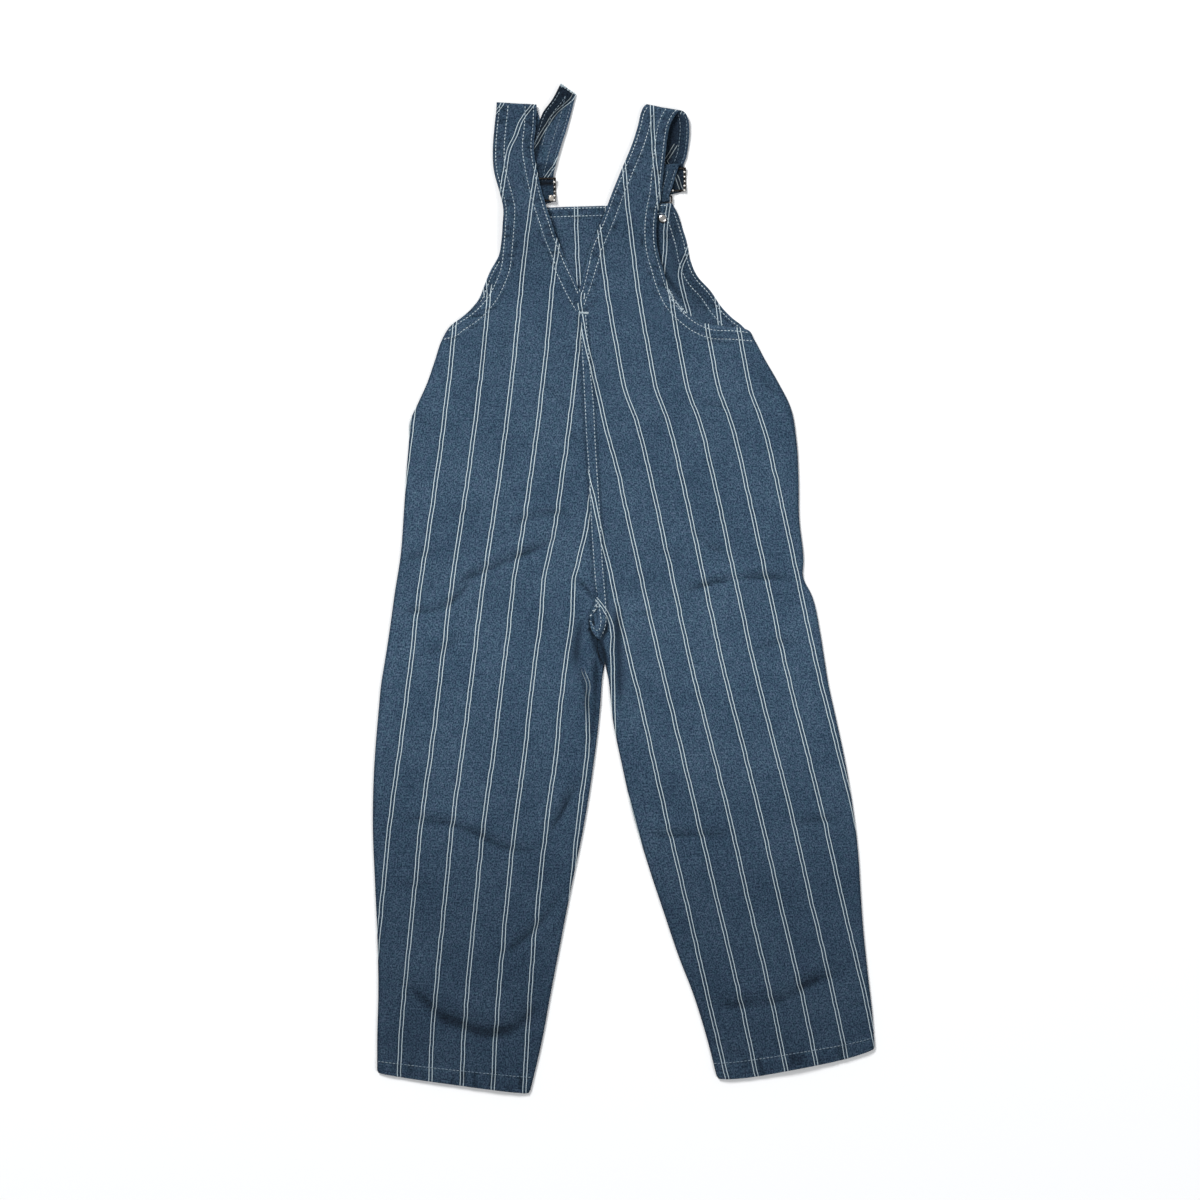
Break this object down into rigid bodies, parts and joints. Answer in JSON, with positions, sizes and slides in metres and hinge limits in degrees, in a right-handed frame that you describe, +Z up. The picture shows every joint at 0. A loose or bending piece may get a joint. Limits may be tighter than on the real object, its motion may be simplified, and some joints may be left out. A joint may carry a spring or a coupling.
{
  "type": "dungarees",
  "caption": "Child's striped denim dungarees laid flat, back up: bib front, straight legs and cut-on straps that fold at the shoulders and run through slides to wire hooks.",
  "frame": {"origin": "on the surface under the middle of the garment", "axes": "+Y along the garment from the hems to the straps, +X to the right as the back is seen, +Z up from the surface, out of the back"},
  "size_m": [0.4515, 0.9081, 0.0085],
  "materials": {
    "denim": "washed mid-blue denim with narrow pairs of off-white woven stripes",
    "denim_inside": "wrong side of the same striped denim",
    "gunmetal": "worn dark plating, bright on the edges",
    "steel": "satin"
  },
  "bodies": {
    "root": {"back_left": "denim", "back_right": "denim", "front_left": "denim", "front_right": "denim", "bib": "denim_inside", "slide_left": "gunmetal", "slide_right": "gunmetal", "hook_left": "gunmetal", "hook_right": "gunmetal", "button_left": "steel", "button_right": "steel", "tack_left": "steel", "tack_right": "steel"}
  },
  "joints": []
}
